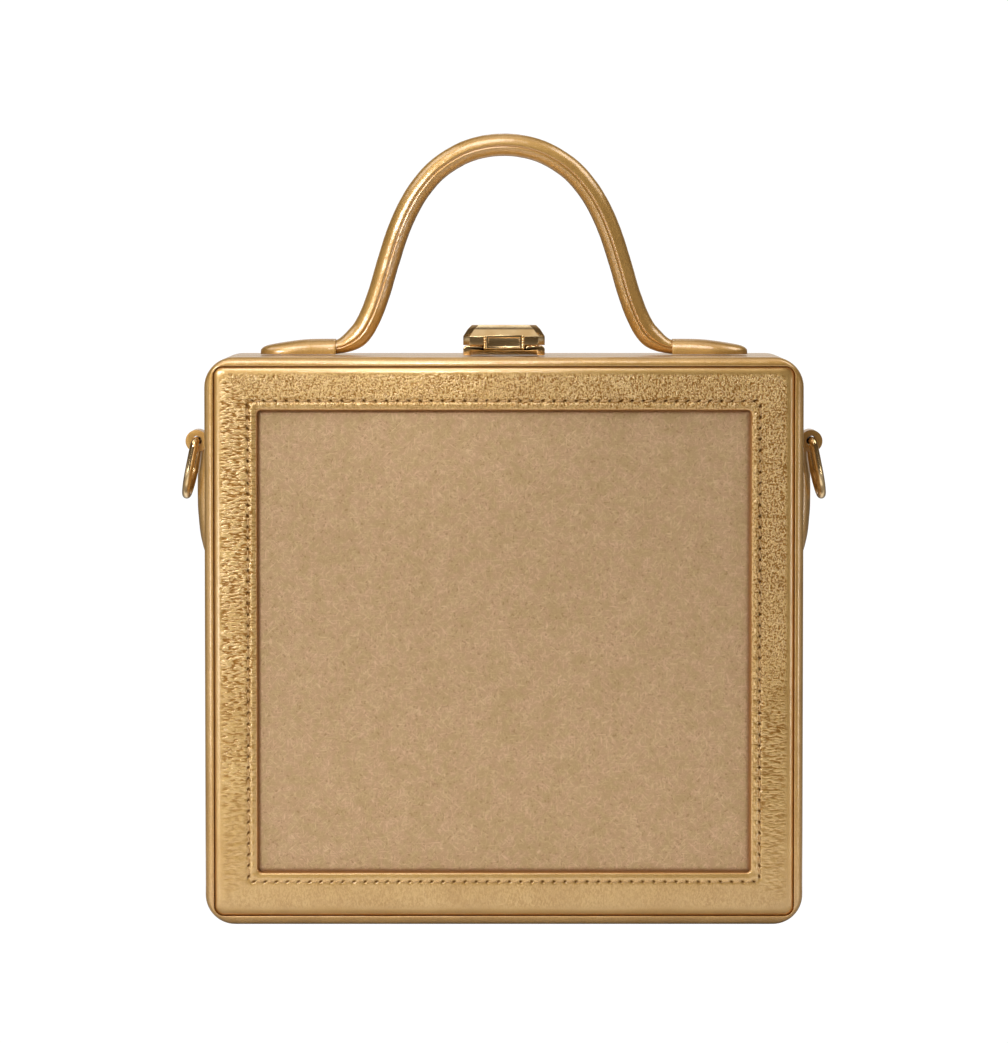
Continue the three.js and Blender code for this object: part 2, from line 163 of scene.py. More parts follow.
def finish_mesh(name, points, faces, body, materials, sharp=40):
    """A piece from points in millimetres, its faces turned outwards, riding on a body."""
    mesh = bpy.data.meshes.new(name)
    mesh.from_pydata((np.asarray(points) * MM).tolist(), [], faces)
    turned = bmesh.new()
    turned.from_mesh(mesh)
    bmesh.ops.recalc_face_normals(turned, faces=turned.faces)
    turned.to_mesh(mesh)
    turned.free()
    smooth(mesh, sharp)
    for material in materials:
        mesh.materials.append(material)
    piece = add_object(mesh)
    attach(piece, body)
    return piece


def strip_faces(rings, count, loop_rings=False):
    """Quads between neighbouring closed rings of count points each."""
    index = np.arange(rings * count).reshape(rings, count)
    if loop_rings:
        index = np.vstack((index, index[:1]))
    beside = np.roll(index, -1, axis=1)
    quads = np.stack((index[:-1], beside[:-1], beside[1:], index[1:]), axis=-1)
    return quads.reshape(-1, 4).tolist()


def tube_faces(rings, count):
    """The faces of a closed tube: its strips, then one face over each end."""
    first = list(range(count))
    last = [point + count * (rings - 1) for point in first]
    return strip_faces(rings, count) + [first[::-1], last]


def loft(name, rings, body, materials, loop=False, sharp=40, inner_from=None):
    """A closed skin through rings of points, in its second material from ring inner_from on."""
    count = len(rings[0])
    faces = strip_faces(len(rings), count, True) if loop else tube_faces(len(rings), count)
    piece = finish_mesh(name, np.vstack(rings), faces, body, materials, sharp)
    if inner_from is not None:
        slots = np.zeros(len(faces), np.int32)
        slots[inner_from * count:] = 1
        slots[(len(rings) - 1) * count] = 0
        piece.data.polygons.foreach_set("material_index", slots)
    return piece


def settle(piece):
    """Applies a piece's modifiers to its mesh."""
    graph = bpy.context.evaluated_depsgraph_get()
    shown = piece.evaluated_get(graph)
    made = bpy.data.meshes.new_from_object(shown, preserve_all_data_layers=True, depsgraph=graph)
    piece.modifiers.clear()
    old, piece.data = piece.data, made
    name = old.name
    bpy.data.meshes.remove(old)
    made.name = name


def combine(piece, others, operation, sharp=40):
    """Cuts the others out of a piece, or fuses them to it, and deletes them."""
    for other in others:
        step = piece.modifiers.new("step", "BOOLEAN")
        step.operation = operation
        step.solver = "EXACT"
        step.object = other
    settle(piece)
    for other in others:
        mesh = other.data
        bpy.data.objects.remove(other)
        bpy.data.meshes.remove(mesh)
    smooth(piece.data, sharp)


def join_pieces(pieces):
    """Adds the other pieces to the first."""
    with bpy.context.temp_override(active_object=pieces[0], selected_editable_objects=pieces):
        bpy.ops.object.join()


def soften(piece, width, steps, angle):
    """Rounds the sharp edges of a piece."""
    step = piece.modifiers.new("bevel", "BEVEL")
    step.width = width * MM
    step.segments = steps
    step.limit_method = "ANGLE"
    step.angle_limit = math.radians(angle)
    settle(piece)
    smooth(piece.data, 50)


def block(name, x, y, z, body, materials=()):
    """A plain box between pairs of limits, for cutting and fusing."""
    points = [(px, py, pz) for px in x for py in y for pz in z]
    faces = [(0, 1, 3, 2), (4, 6, 7, 5), (0, 4, 5, 1), (2, 3, 7, 6), (0, 2, 6, 4), (1, 5, 7, 3)]
    return finish_mesh(name, points, faces, body, materials)


def ring_of(x, y, z):
    """A ring of points. A plain number counts for all of them."""
    return np.column_stack(np.broadcast_arrays(x, y, z))


def around(count):
    """Evenly spaced directions round a circle."""
    return np.arange(count) / count * 2 * math.pi


def rod(name, radius, ends, middle, body, sides, along="x"):
    """A round bar for cutting and fusing, along X at a middle (y, z) or along Y at (x, z)."""
    angle = around(sides)
    beside = middle[0] + radius * np.cos(angle)
    up = middle[1] + radius * np.sin(angle)
    rings = []
    for end in ends:
        rings.append(ring_of(end, beside, up) if along == "x" else ring_of(beside, end, up))
    return loft(name, rings, body, ())


def outline(half, low, high, radius, level, upright, arc_steps=ARC_STEPS):
    """A rounded rectangle's (x, z) points, anticlockwise from the foot of its right side.

    level and upright are the shares of its sides where points lie.
    """
    reach = half - radius
    tall = high - low - 2 * radius
    right = np.column_stack((np.full(len(upright), half), low + radius + upright * tall))
    top = np.column_stack((reach - level * 2 * reach, np.full(len(level), high)))
    left = right[::-1] * (-1, 1)
    bottom = np.column_stack((-top[:, 0], np.full(len(level), low)))
    bends = []
    for quarter, (side, lift) in enumerate(((1, 1), (-1, 1), (-1, 0), (1, 0))):
        angle = (quarter + np.arange(1, arc_steps) / arc_steps) * math.pi / 2
        middle_z = high - radius if lift else low + radius
        x = side * reach + radius * np.cos(angle)
        bends.append(np.column_stack((x, middle_z + radius * np.sin(angle))))
    return np.vstack((right, bends[0], top, bends[1], left, bends[2], bottom, bends[3]))


def at(points, y):
    """A ring of (x, z) points at depth y."""
    return ring_of(points[:, 0], y, points[:, 1])


def mix(a, b, share):
    return a + (b - a) * share


def ease(t):
    return t * t * t * (t * (6 * t - 15) + 10)


def bell(t):
    return np.exp(-(t ** 2))


def smooth_step(low, high, value):
    t = np.clip((value - low) / (high - low), 0, 1)
    return t * t * (3 - 2 * t)


NOISE_TABLE = np.random.default_rng(41).random((256, 256)) * 2 * math.pi


def noise(x, z, layer):
    """Smooth noise of about -1 to 1 with lumps about one unit apart."""
    cell_x = np.floor(x).astype(int)
    cell_z = np.floor(z).astype(int)
    total = np.zeros(np.shape(x))
    for column in (cell_x, cell_x + 1):
        for row in (cell_z, cell_z + 1):
            angle = NOISE_TABLE[(column + 37 * layer) % 256, (row + 101 * layer) % 256]
            away_x = x - column
            away_z = z - row
            weight = ease(1 - np.abs(away_x)) * ease(1 - np.abs(away_z))
            total += weight * (away_x * np.cos(angle) + away_z * np.sin(angle))
    return 1.6 * total


def store(piece, name, values):
    """Keeps one number at each point of a piece, for its material."""
    layer = piece.data.attributes.new(name, "FLOAT", "POINT")
    layer.data.foreach_set("value", np.asarray(values, np.float32))


# Materials
def linear(value):
    share = value / 255
    return share / 12.92 if value <= 10 else ((share + 0.055) / 1.055) ** 2.4


def paint(red, green, blue):
    """A screen colour, from 0 to 255, in the shader's own scale."""
    return (linear(red), linear(green), linear(blue), 1)


def feed(tree, socket, value):
    """Sets a node's input to a value, or links it to another node's output."""
    if isinstance(value, bpy.types.NodeSocket):
        tree.links.new(value, socket)
    else:
        socket.default_value = value


def add_node(tree, kind, inputs=None, **settings):
    made = tree.nodes.new(kind)
    for key, value in settings.items():
        setattr(made, key, value)
    for key, value in (inputs or {}).items():
        feed(tree, made.inputs[key], value)
    return made


def smooth_range(tree, value, low, high, to_low, to_high):
    """Turns a value between low and high into one between to_low and to_high, smoothly."""
    inputs = {"Value": value, "From Min": low, "From Max": high, "To Min": to_low, "To Max": to_high}
    return add_node(tree, "ShaderNodeMapRange", inputs, interpolation_type="SMOOTHSTEP").outputs["Result"]


class Maker:
    """Adds shader nodes to one material."""

    def __init__(self, name):
        self.material = bpy.data.materials.new(name)
        self.material.use_nodes = True
        self.tree = self.material.node_tree
        self.shader = self.tree.nodes["Principled BSDF"]
        self.place = self.node("ShaderNodeTexCoord").outputs["Object"]

    def node(self, kind, inputs=None, **settings):
        return add_node(self.tree, kind, inputs, **settings)

    def set(self, **values):
        for key, value in values.items():
            feed(self.tree, self.shader.inputs[key.replace("_", " ")], value)
        return self.material

    def stretched(self, scale, turn=(0, 0, 0), where=None):
        inputs = {"Vector": where or self.place, "Scale": scale, "Rotation": turn}
        return self.node("ShaderNodeMapping", inputs).outputs["Vector"]

    def noise(self, size, detail=2, roughness=0.5, distortion=0, where=None):
        """Noise whose lumps are about size millimetres."""
        inputs = {
            "Vector": where or self.place, "Scale": 1 / (size * MM), "Detail": detail,
            "Roughness": roughness, "Distortion": distortion,
        }
        return self.node("ShaderNodeTexNoise", inputs).outputs["Fac"]

    def value(self, name):
        return self.node("ShaderNodeAttribute", attribute_name=name).outputs["Fac"]

    def math(self, operation, a, b=0.0, clamp=False):
        return self.node("ShaderNodeMath", {0: a, 1: b}, operation=operation, use_clamp=clamp).outputs[0]

    def span(self, value, low, high, to_low=0.0, to_high=1.0):
        return smooth_range(self.tree, value, low, high, to_low, to_high)

    def blend(self, share, a, b):
        return self.node("ShaderNodeMix", {0: share, 6: a, 7: b}, data_type="RGBA").outputs[2]

    def bump(self, height, depth, normal=None):
        """Relief of depth millimetres."""
        inputs = {"Height": height, "Distance": depth * MM}
        if normal is not None:
            inputs["Normal"] = normal
        return self.node("ShaderNodeBump", inputs).outputs["Normal"]


def gold_leather():
    """Smooth leather with a metallic coat: fine pores, faint mottling, darker paint in its seams, which
    along the rim's groove is also painted shade.
    """
    m = Maker("gold_leather")
    mottle = m.span(m.noise(14, 3, 0.6), 0.3, 0.7)
    fine = m.noise(0.7, 3, 0.65)
    cells = m.node("ShaderNodeTexVoronoi", {"Vector": m.place, "Scale": 1 / (0.55 * MM)})
    pores = m.span(cells.outputs["Distance"], 0.05, 0.35)
    colour = m.blend(mottle, paint(206, 160, 84), paint(220, 175, 98))
    colour = m.blend(m.span(fine, 0.35, 0.65, 0.0, 0.35), colour, paint(188, 139, 64))
    # darker brown on points marked seam: the handle's seam line, and edge paint plus painted shade in the
    # groove round the frame, on the shell's recess walls and lip
    colour = m.blend(m.value("seam"), colour, paint(200, 138, 62))
    rough = m.span(fine, 0.3, 0.7, 0.42, 0.54)
    normal = m.bump(m.noise(9, 2), 0.25)
    normal = m.bump(fine, 0.03, normal)
    normal = m.bump(pores, 0.012, normal)
    return m.set(
        Base_Color=colour, Metallic=0.65, Roughness=rough, Normal=normal,
        Coat_Weight=1.0, Coat_IOR=1.95, Coat_Roughness=0.2, Coat_Normal=normal,
    )


def grained_leather():
    """Crackled leather with a metallic coat, its creases painted darker than its crests: partly its own
    tone, partly painted shade and light of the grain.

    Each point says how much it has of level ripples, upright pleats and pebbles.
    """
    m = Maker("grained_leather")
    ripple = m.span(m.noise(0.62, 2, 0.45, 0.15, m.stretched((0.32, 1, 1))), 0.3, 0.7, -0.25, 1.25)
    pleat = m.span(m.noise(0.5, 2, 0.5, 0.5, m.stretched((1, 1, 0.5))), 0.32, 0.68)
    pebble = m.span(m.noise(0.64, 2, 0.5, 0.4), 0.3, 0.7)
    grain = None
    for name, texture in (("ripples", ripple), ("pleats", pleat), ("pebbles", pebble)):
        part = m.math("MULTIPLY", m.value(name), m.math("SUBTRACT", texture, 0.5))
        grain = part if grain is None else m.math("ADD", grain, part)
    fine = m.noise(0.42, 3, 0.65)
    mottle = m.span(m.noise(11, 3, 0.6), 0.3, 0.7)
    # the lighter crests and darker creases are partly the leather's own tone, partly painted light and
    # shade of the grain
    crest = m.blend(mottle, paint(230, 188, 112), paint(238, 199, 124))
    crease = m.blend(mottle, paint(154, 106, 38), paint(166, 116, 46))
    colour = m.blend(m.span(grain, -0.42, 0.24), crease, crest)
    colour = m.blend(m.span(fine, 0.3, 0.7, 0.14, 0.0), colour, paint(166, 114, 42))
    # painted shade in the seam colour: in the groove round the frame over edge paint, and as a shadow
    # line along the window
    colour = m.blend(m.value("seam"), colour, paint(200, 138, 62))
    # painted shade in the needle holes
    colour = m.blend(m.value("hole_shade"), colour, paint(96, 58, 18))
    rough = m.span(grain, -0.4, 0.4, 0.52, 0.42)
    normal = m.bump(grain, GRAIN_DEPTH)
    normal = m.bump(fine, 0.03, normal)
    coat = m.math("SUBTRACT", m.span(grain, -0.35, 0.15, 0.2, 1.0), m.value("hole_shade"), True)
    return m.set(
        Base_Color=colour, Metallic=0.75, Roughness=rough, Normal=normal,
        Coat_Weight=coat, Coat_IOR=1.95, Coat_Roughness=0.2, Coat_Normal=normal,
    )


def tan_felt():
    """Pressed felt: short fibres, mostly level and upright, over cloudy colour."""
    m = Maker("tan_felt")
    cloud = m.span(m.noise(6, 3, 0.6), 0.35, 0.65)
    warm = m.span(m.noise(3.2, 2, 0.5, where=m.stretched((1, 1, 1), (0.4, 0.2, 0.7))), 0.4, 0.62)
    colour = m.blend(cloud, paint(193, 165, 121), paint(207, 175, 136))
    colour = m.blend(m.math("MULTIPLY", warm, 0.6), colour, paint(207, 168, 137))
    fibres = None
    for turn in (0.05, 0.8, 1.6, 2.4):
        turned = m.stretched((1, 1, 1), (0, turn, 0))
        streak = m.noise(0.6, 2, 0.55, 0.5, m.stretched((0.22, 1, 1), where=turned))
        fibres = streak if fibres is None else m.math("MAXIMUM", fibres, streak)
    colour = m.blend(m.span(fibres, 0.54, 0.68, 0.5, 0.0), colour, paint(168, 138, 96))
    colour = m.blend(m.span(fibres, 0.66, 0.78, 0.0, 0.5), colour, paint(222, 192, 154))
    specks = m.span(m.noise(0.9, 1, 0.5), 0.28, 0.36, 0.45, 0.0)
    colour = m.blend(specks, colour, paint(140, 106, 66))
    # painted shade on the felt along the window's edge, under the frame
    colour = m.blend(m.value("seam"), colour, paint(190, 128, 68))
    normal = m.bump(fibres, 0.2)
    normal = m.bump(m.noise(1.6, 2), 0.14, normal)
    return m.set(
        Base_Color=colour, Roughness=0.95, Normal=normal, Specular_IOR_Level=0.15,
        Sheen_Weight=0.25, Sheen_Roughness=0.5,
    )


def pale_brass():
    """Smooth pale plating."""
    m = Maker("pale_brass")
    wear = m.span(m.noise(6, 2, 0.5), 0.35, 0.65)
    colour = m.blend(wear, paint(236, 208, 160), paint(226, 194, 142))
    return m.set(Base_Color=colour, Metallic=1.0, Roughness=m.span(wear, 0.0, 1.0, 0.17, 0.2))


def plain_lining():
    """The bare inner side of the case: matt board paper with a soft nap."""
    m = Maker("plain_lining")
    cloud = m.span(m.noise(5, 3, 0.6), 0.3, 0.7)
    colour = m.blend(cloud, paint(176, 146, 108), paint(188, 158, 120))
    nap = m.bump(m.noise(0.4, 3, 0.7), 0.05)
    return m.set(Base_Color=colour, Roughness=0.9, Normal=nap, Specular_IOR_Level=0.2)


def gold_thread():
    """Waxed thread with its twist."""
    m = Maker("gold_thread")
    twist = m.noise(0.3, 2, 0.6)
    colour = m.blend(twist, paint(176, 134, 80), paint(226, 190, 134))
    return m.set(Base_Color=colour, Metallic=0.35, Roughness=0.45, Normal=m.bump(twist, 0.04))


LEATHER = gold_leather()
GRAINED = grained_leather()
FELT = tan_felt()
BRASS = pale_brass()
LINING = plain_lining()
THREAD = gold_thread()


# Camera, light and floor, in metres
CAMERA_PLACE = (0, -1.836, 0.2296)
CAMERA_TILT = 3
IMAGE_HEIGHT = 1043
FOCAL_PIXELS = 5407
SENSOR = 36
WHITE = (1, 1, 1, 1)
BURNT_OUT = 1.05  # brightness of what the camera sees as plain white
FLOOR_GREY = (0.5, 0.5, 0.5, 1)
FLOOR_REACH = 12
FLOOR_DROP = 0.0002
FLOOR_GLOW = 0.7  # light from the paper round the bag
ROOM = 0.09  # brightness of the dim room
ROOM_TINT = (1, 0.72, 0.42, 1)
BRIGHT_TINT = (1, 0.97, 0.93, 1)
# axis of the direction, where a zone starts, where it is full, brightness
BRIGHT_ZONES = (("Y", 0.7, 0.96, 0.75), ("Z", 0.9, 0.975, 0.8))
# name, place, what it points at, size, watts
SOFTBOXES = (
    ("low_left", (-0.36, -0.45, 0.08), (-0.09, 0, 0.05), (0.15, 0.12), 0.3),
    ("high_left", (-0.3, -0.45, 0.38), (-0.06, 0, 0.12), (0.2, 0.1), 1.1),
    ("over_left", (-0.35, -0.05, 0.62), (-0.05, 0, 0.19), (0.3, 0.3), 0.5),
    ("over_front", (-0.1, -0.4, 0.7), (0, 0, 0.15), (0.3, 0.3), 1.3),
    ("over_right", (0.35, -0.05, 0.62), (0.05, 0, 0.19), (0.3, 0.3), 0.8),
    ("side_left", (-0.6, -0.1, 0.12), (-0.1, 0, 0.09), (0.3, 0.2), 0.1),
    ("side_right", (0.6, -0.1, 0.12), (0.1, 0, 0.09), (0.3, 0.2), 0.06),
    ("edge_left", (-0.5, -0.3, 0.03), (-0.1, 0, 0.04), (0.1, 0.15), 0.08),
    ("edge_right", (0.5, -0.34, 0.06), (0.1, 0, 0.08), (0.05, 0.2), 0.3),
    ("clasp_sheen", (0, 0.42, 0.64), (0, 0, 0.2), (0.16, 0.1), 0.09),
)
# the same, with a cone in degrees for its size
SPOTLIGHT = ("top_left_pool", (-0.04, -0.5, 0.43), (-0.026, -0.03, 0.19), 10, 2.6)


def make_camera():
    data = bpy.data.cameras.new("camera")
    data.sensor_width = SENSOR
    data.lens = FOCAL_PIXELS * SENSOR / IMAGE_HEIGHT
    camera = add_object(data)
    camera.location = CAMERA_PLACE
    camera.rotation_euler = (math.radians(90 - CAMERA_TILT), 0, 0)
    bpy.context.scene.camera = camera


def hang(name, kind, place, aim, power, **settings):
    """Puts a light in its place, pointing at aim."""
    data = bpy.data.lights.new(name, kind)
    data.energy = power
    for key, value in settings.items():
        setattr(data, key, value)
    lamp = add_object(data)
    lamp.location = place
    lamp.rotation_euler = (Vector(aim) - Vector(place)).to_track_quat("-Z", "Y").to_euler()


def make_lamps():
    for name, place, aim, (wide, tall), power in SOFTBOXES:
        hang(name, "AREA", place, aim, power, shape="RECTANGLE", size=wide, size_y=tall)
    name, place, aim, cone, power = SPOTLIGHT
    cone = math.radians(cone)
    hang(name, "SPOT", place, aim, power, spot_size=cone, spot_blend=1, shadow_soft_size=0.03)


def make_room():
    """A dim warm room with a bright backdrop and ceiling. The camera sees plain white."""
    world = bpy.data.worlds.new("studio")
    bpy.context.scene.world = world
    world.use_nodes = True
    tree = world.node_tree
    where = add_node(tree, "ShaderNodeTexCoord").outputs["Generated"]
    parts = add_node(tree, "ShaderNodeSeparateXYZ", {0: where})
    zones = [
        smooth_range(tree, parts.outputs[axis], low, high, ROOM, strength)
        for axis, low, high, strength in BRIGHT_ZONES
    ]
    light = add_node(tree, "ShaderNodeMath", {0: zones[0], 1: zones[1]}, operation="MAXIMUM").outputs[0]
    tint = add_node(tree, "ShaderNodeMix", {0: light, 6: ROOM_TINT, 7: BRIGHT_TINT}, data_type="RGBA")
    room = tree.nodes["Background"]
    feed(tree, room.inputs["Color"], tint.outputs[2])
    feed(tree, room.inputs["Strength"], light)
    white = add_node(tree, "ShaderNodeBackground", {"Color": WHITE, "Strength": BURNT_OUT})
    show_to_camera(tree, room, white, "World Output")


def show_to_camera(tree, usual, white, output):
    """Shows the camera white, and everything else the usual shader."""
    seen = add_node(tree, "ShaderNodeLightPath").outputs["Is Camera Ray"]
    choice = add_node(tree, "ShaderNodeMixShader", {0: seen, 1: usual.outputs[0], 2: white.outputs[0]})
    tree.links.new(choice.outputs[0], tree.nodes[output].inputs["Surface"])


def make_floor():
    """White paper, burnt out for the camera. It glows in front of the bag and behind it."""
    m = Maker("white_floor")
    away = m.node("ShaderNodeVectorMath", {0: m.place}, operation="LENGTH").outputs["Value"]
    deep = m.math("ABSOLUTE", m.node("ShaderNodeSeparateXYZ", {0: m.place}).outputs["Y"])
    shine = m.math("MULTIPLY", m.span(deep, 0.038, 0.062), m.span(away, 0.16, 0.3, FLOOR_GLOW, 0.0))
    m.set(Base_Color=FLOOR_GREY, Roughness=0.7, Emission_Color=WHITE, Emission_Strength=shine)
    glow = m.node("ShaderNodeEmission", {"Color": WHITE, "Strength": BURNT_OUT})
    show_to_camera(m.tree, m.shader, glow, "Material Output")
    corners = [(x * FLOOR_REACH, y * FLOOR_REACH, 0) for x, y in ((-1, -1), (1, -1), (1, 1), (-1, 1))]
    mesh = bpy.data.meshes.new("floor")
    mesh.from_pydata(corners, [], [(0, 1, 2, 3)])
    mesh.materials.append(m.material)
    floor = add_object(mesh)
    floor.location.z = -FLOOR_DROP


# The two halves of the case
def side_shares():
    """Places up a shell's sides, even but for a few close ones at the band's seam."""
    tall = HEIGHT - 2 * CORNER
    seam = (SEAM_HEIGHT - CORNER) / tall
    near = seam + np.array([-0.9, -0.5, -0.25, 0, 0.25, 0.5, 0.9]) / tall
    even = np.linspace(0, 1, SIDE_STEPS)
    even = even[np.abs(even - seam) > 1.2 / tall]
    return np.sort(np.concatenate((even, near)))


def case_outline(inset, radius):
    level = np.linspace(0, 1, SIDE_STEPS)
    return outline(HALF - inset, inset, HEIGHT - inset, radius, level, side_shares())


def press_seam(ring):
    """Sinks a ring of the band where the two lengths of leather meet."""
    dip = SEAM_DEPTH * bell((ring[:, 2] - SEAM_HEIGHT) / SEAM_WIDTH)
    on_side = np.abs(ring[:, 0]) > HALF - 0.7
    ring[:, 0] -= np.sign(ring[:, 0]) * dip * on_side
    return ring


def shell(name, body, face, inwards, seat, split):
    """One half of the case, from its face's recess over the rim and round inside."""
    recess = case_outline(RIM, RECESS_CORNER)
    edge = case_outline(0, CORNER)
    inside = case_outline(WALL, CORNER - WALL)
    floor = case_outline(WALL + 0.9, CORNER - WALL - 0.9)
    rim_top = face + inwards * RIM_SET_BACK
    rings = [at(recess, seat), at(recess, rim_top + inwards * 0.8)]
    for share in (0.0, 0.4, 0.75, 1.0):
        angle = share * math.pi / 2
        out = RIM_LIP * (1 - math.cos(angle)) / RIM
        rings.append(at(mix(recess, edge, out), rim_top + inwards * RIM_LIP * (1 - math.sin(angle))))
    start = RIM_LIP / RIM
    for i in range(1, 11):
        angle = i / 10 * math.pi / 2
        out = start + (1 - start) * math.sin(angle)
        ring = at(mix(recess, edge, out), rim_top + inwards * ROLL * (1 - math.cos(angle)))
        rings.append(press_seam(ring))
    band_from = rim_top + inwards * ROLL
    band_to = split - inwards * 0.5
    for share in np.linspace(0, 1, 9)[1:]:
        rings.append(press_seam(at(edge, mix(band_from, band_to, share))))
    rings.append(press_seam(at(mix(edge, inside, 0.04), split - inwards * 0.18)))
    for share, away in ((0.16, 0), (0.86, 0), (0.96, 0.12)):
        rings.append(at(mix(edge, inside, share), split - inwards * away))
    turn = len(rings)
    bottom = seat + inwards * BOARD
    rings += [
        at(inside, split - inwards * 0.4), at(inside, bottom + inwards * 0.9),
        at(mix(inside, floor, 0.3), bottom + inwards * 0.27), at(floor, bottom),
    ]
    piece = loft(name, rings, body, (LEATHER, LINING), inner_from=turn)
    # the recess walls and the rim's inner lip get the darker seam colour: edge paint plus painted shade
    # of the groove round the frame
    groove_paint_and_shade = np.zeros(len(rings))
    groove_paint_and_shade[:4] = (1, 1, 0.85, 0.3)
    store(piece, "seam", np.repeat(groove_paint_and_shade, len(recess)))
    hinge_groove(piece, body)
    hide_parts(name.replace("_leather", ""))


HINGE_Y = -12.0
HINGE_Z = 2.3
HINGE_GROOVE = 2.4
HINGE_RELIEF = 4.9  # height of the groove along the hinge
HINGE_HALF = 90
HINGE_GAP = 0.4


def hinge_groove(piece, body):
    """Leaves room in the bottom for the hinge's barrel."""
    y = (HINGE_Y - HINGE_GROOVE, HINGE_Y + HINGE_GROOVE)
    cuts = [
        block("cut_a", (-HALF - 1, HALF + 1), y, (-1, HINGE_Z + SEAT_GAP), body),
        block("cut_b", (-HINGE_HALF - HINGE_GAP, HINGE_HALF + HINGE_GAP), y, (-1, HINGE_RELIEF), body),
    ]
    combine(piece, cuts, "DIFFERENCE")


def make_shells():
    shell("front_shell_leather", "front", FRONT, 1, front_low[1] + FRONT_SEAT, front_high[1])
    shell("back_shell_leather", "case", BACK, -1, shell_high[1] - BACK_SEAT, shell_low[1])


# The frame of the face, with its grain and stitches
EDGE_RINGS = (0, 0.03, 0.12, 0.28, 0.5, 0.8, 1.15, 1.55, 2.0)  # across a rolled edge


def border_rings():
    """Where the frame's rings lie, from its outer edge to its window."""
    return np.concatenate((
        EDGE_RINGS,
        np.arange(2.4, STITCH_LINE - 0.8, 0.52),
        np.arange(STITCH_LINE - 0.75, STITCH_LINE + 0.8, 0.25),
        np.arange(STITCH_LINE + 1.0, BORDER - WINDOW_ROLL - 0.1, 0.3),
        BORDER - WINDOW_ROLL * (1 - np.sin(np.linspace(0, 1, 7) * math.pi / 2)),
    ))


def face_outline(spread, corner, level, upright):
    """The outline of the frame's solid, spread outwards by a distance."""
    half, low, high = border_high[0] + spread, border_low[2] - spread, border_high[2] + spread
    return outline(half, low, high, corner, level, upright, BORDER_BEND)


def border_outline(inset):
    """The frame's outline at a distance from its edge."""
    level = np.linspace(0, 1, LEVEL_COLUMNS)
    upright = np.linspace(0, 1, UPRIGHT_COLUMNS)
    outer = face_outline(BORDER_SPREAD, BORDER_CORNER, level, upright)
    window = face_outline(-BORDER, WINDOW_CORNER, level, upright)
    return mix(outer, window, inset / BORDER)


def border_relief(inset, pull, between):
    """How high the frame's plain form stands at a distance from its outer edge.

    pull is how hard the stitches draw the leather in, between runs from 0 at a needle hole
    to 1 halfway to the next.
    """
    roll = np.clip(1 - inset / EDGE_ROLL, 0, 1)
    height = EDGE_RISE * np.sqrt(1 - roll ** 2) - SWELL * np.exp(-inset / SWELL_REACH)
    height = height - STITCH_PULL * pull * bell((inset - STITCH_LINE) / 0.6)
    ridge = 0.04 + pull * (0.02 + RIDGE_HEIGHT * between)
    height = height + ridge * bell((inset - STITCH_LINE - RIDGE_IN) / 0.5)
    drop = np.clip((inset - (BORDER - WINDOW_ROLL)) / WINDOW_ROLL, 0, 1)
    return height - WINDOW_ROLL * (1 - np.sqrt(1 - drop ** 2))


def crackle(x, z, layer):
    """Creases and crests about one unit apart, from -1 to 1."""
    bend_x = x + 0.55 * noise(x * 0.45, z * 0.45, layer + 3)
    bend_z = z + 0.55 * noise(x * 0.45, z * 0.45, layer + 4)
    wave = noise(bend_x, bend_z, layer)
    small = noise(bend_x * 2.1, bend_z * 2.1, layer + 1)
    return np.clip(1.5 * wave + 0.45 * small, -1, 1)


def border_parts(x, z):
    """Shares of the left, right, top and bottom strips at each point of the frame."""
    from_side = border_high[0] - np.abs(x)
    from_end = MIDDLE - border_low[2] - np.abs(z - MIDDLE)
    upright = smooth_step(-5, 5, from_end - from_side)
    above = smooth_step(-10, 10, z - MIDDLE)
    return upright * (x < 0), upright * (x > 0), (1 - upright) * above, (1 - upright) * (1 - above)


def grain_parts(x, z):
    """How strong the ripples, pleats and pebbles are: strong above, nearly gone at the foot."""
    left, right, top, bottom = border_parts(x, z)
    patches = 0.95 + 0.3 * noise(x / 12, z / 12, 31)
    left_fade = mix(0.1, 0.8, smooth_step(12, 110, z))
    right_fade = mix(0.16, 1.1, smooth_step(15, 115, z))
    far_right = smooth_step(-40, 50, x)
    above = smooth_step(55, 95, z)
    ripples = left * left_fade + right * right_fade * (1 - 0.75 * above) + 0.1 * top
    pebbles = 1.25 * right * right_fade * above + top * mix(0.75, 0.85, far_right)
    pleats = top * mix(0.3, 0.75, far_right) + 0.16 * bottom
    return ripples * patches, pleats * patches, pebbles * patches


def stitch_columns():
    """How many columns a ring of the frame has, and which of them hold a needle hole."""
    start = 0
    runs = []
    for length in (UPRIGHT_COLUMNS, LEVEL_COLUMNS) * 2:
        runs.append(start + np.arange(0, length, COLUMNS_PER_STITCH))
        start += length + BORDER_BEND - 1
    return start, runs


